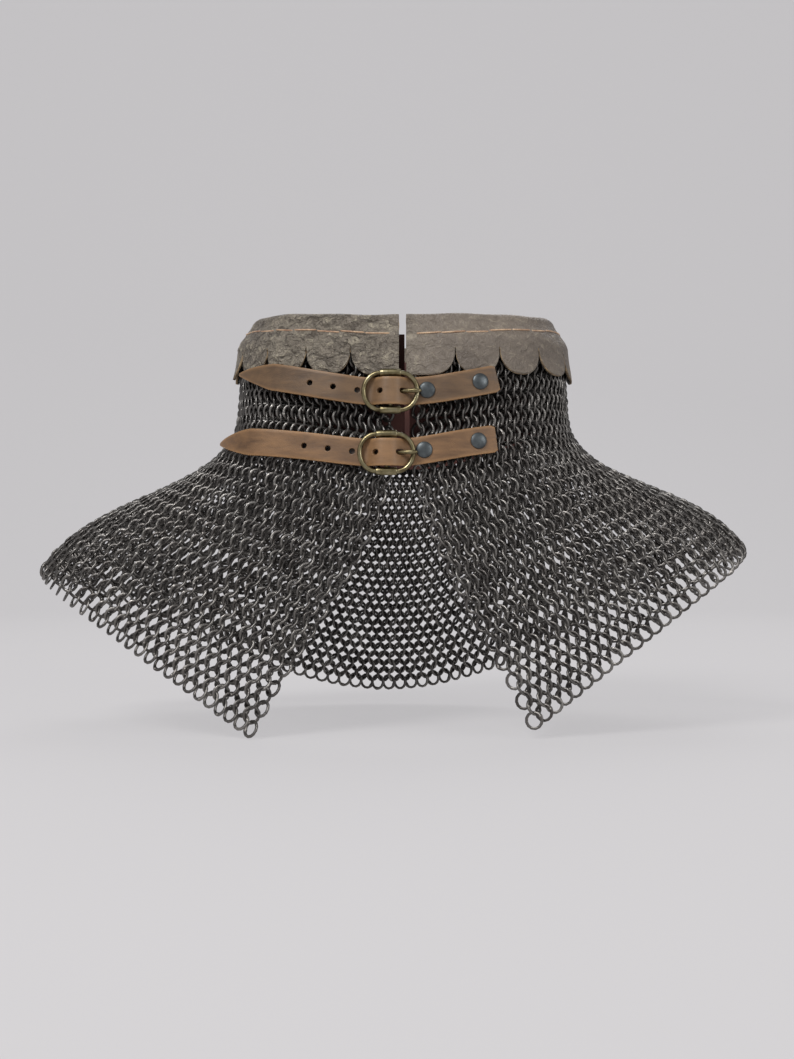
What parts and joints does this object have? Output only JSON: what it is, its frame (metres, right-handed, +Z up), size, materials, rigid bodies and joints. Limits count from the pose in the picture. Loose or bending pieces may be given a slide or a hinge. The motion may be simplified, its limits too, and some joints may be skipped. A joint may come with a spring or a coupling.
{
  "type": "mail collar",
  "caption": "Mail collar of interlinked flat rings with a dagged leather neck trim, a leather liner and strap-and-buckle closures at the back of the neck.",
  "frame": {"origin": "centre of the neck opening at the height of the neck's base, where the mail bends outward over the shoulders", "axes": "+Z up along the neck; -Y towards the wearer's back, where the collar opens and buckles; +X towards the wearer's right"},
  "size_m": [0.4364, 0.2036, 0.2493],
  "materials": {
    "mail_steel": "dark oiled steel, worn brighter on the edges of the rings",
    "trim_leather": "dark brown grained leather, satin",
    "liner_leather": "dark reddish-brown leather, matt",
    "strap_leather": "waxed pull-up leather, tan-brown, darker edges",
    "antique_brass": "antique brass, dull and darkened in the corners",
    "rivet_steel": "dark domed rivets",
    "waxed_thread": "thick waxed thread, rust red"
  },
  "bodies": {
    "collar": {"neck_liner": "liner_leather", "dagged_trim": "trim_leather", "trim_stitching": "waxed_thread", "upper_strap": "strap_leather", "lower_strap": "strap_leather", "strap_rivets": "rivet_steel", "upper_tab": "strap_leather", "lower_tab": "strap_leather", "tab_rivets": "rivet_steel", "mail_row_01": "mail_steel", "mail_row_02": "mail_steel", "mail_row_03": "mail_steel", "mail_row_04": "mail_steel", "mail_row_05": "mail_steel", "mail_row_06": "mail_steel", "mail_row_07": "mail_steel", "mail_row_08": "mail_steel", "mail_row_09": "mail_steel", "mail_row_10": "mail_steel", "mail_row_11": "mail_steel", "mail_row_12": "mail_steel", "mail_row_13": "mail_steel", "mail_row_14": "mail_steel", "mail_row_15": "mail_steel", "mail_row_16": "mail_steel", "mail_row_17": "mail_steel", "mail_row_18": "mail_steel", "mail_row_19": "mail_steel", "mail_row_20": "mail_steel", "mail_row_21": "mail_steel", "mail_row_22": "mail_steel", "mail_row_23": "mail_steel", "mail_row_24": "mail_steel", "mail_row_25": "mail_steel", "mail_row_26": "mail_steel", "mail_row_27": "mail_steel", "mail_row_28": "mail_steel", "mail_row_29": "mail_steel", "mail_row_30": "mail_steel", "mail_row_31": "mail_steel", "mail_row_32": "mail_steel", "mail_row_33": "mail_steel", "mail_row_34": "mail_steel", "mail_row_35": "mail_steel", "mail_row_36": "mail_steel", "mail_row_37": "mail_steel", "mail_row_38": "mail_steel", "mail_row_39": "mail_steel"},
    "upper_buckle": {"upper_buckle_frame": "antique_brass", "upper_buckle_bar": "antique_brass"},
    "upper_pin": {"upper_tongue": "antique_brass"},
    "lower_buckle": {"lower_buckle_frame": "antique_brass", "lower_buckle_bar": "antique_brass"},
    "lower_pin": {"lower_tongue": "antique_brass"}
  },
  "joints": [
    {"name": "upper_buckle_turn", "type": "hinge", "parent": "collar", "child": "upper_buckle", "pos_m": [-0.00731, -0.08814, 0.02611], "axis": [0.0011, 0.0727, 0.9974], "range_deg": [-1.5, 1.5]},
    {"name": "upper_tongue_lift", "type": "hinge", "parent": "upper_buckle", "child": "upper_pin", "pos_m": [-0.00731, -0.08814, 0.02611], "axis": [-0.0011, -0.0727, -0.9974], "range_deg": [0, 5]},
    {"name": "lower_buckle_turn", "type": "hinge", "parent": "collar", "child": "lower_buckle", "pos_m": [-0.00959, -0.0907, -0.00969], "axis": [0.0015, 0.0729, 0.9973], "range_deg": [-1.5, 1.5]},
    {"name": "lower_tongue_lift", "type": "hinge", "parent": "lower_buckle", "child": "lower_pin", "pos_m": [-0.00959, -0.0907, -0.00969], "axis": [-0.0015, -0.0729, -0.9973], "range_deg": [0, 5]}
  ]
}
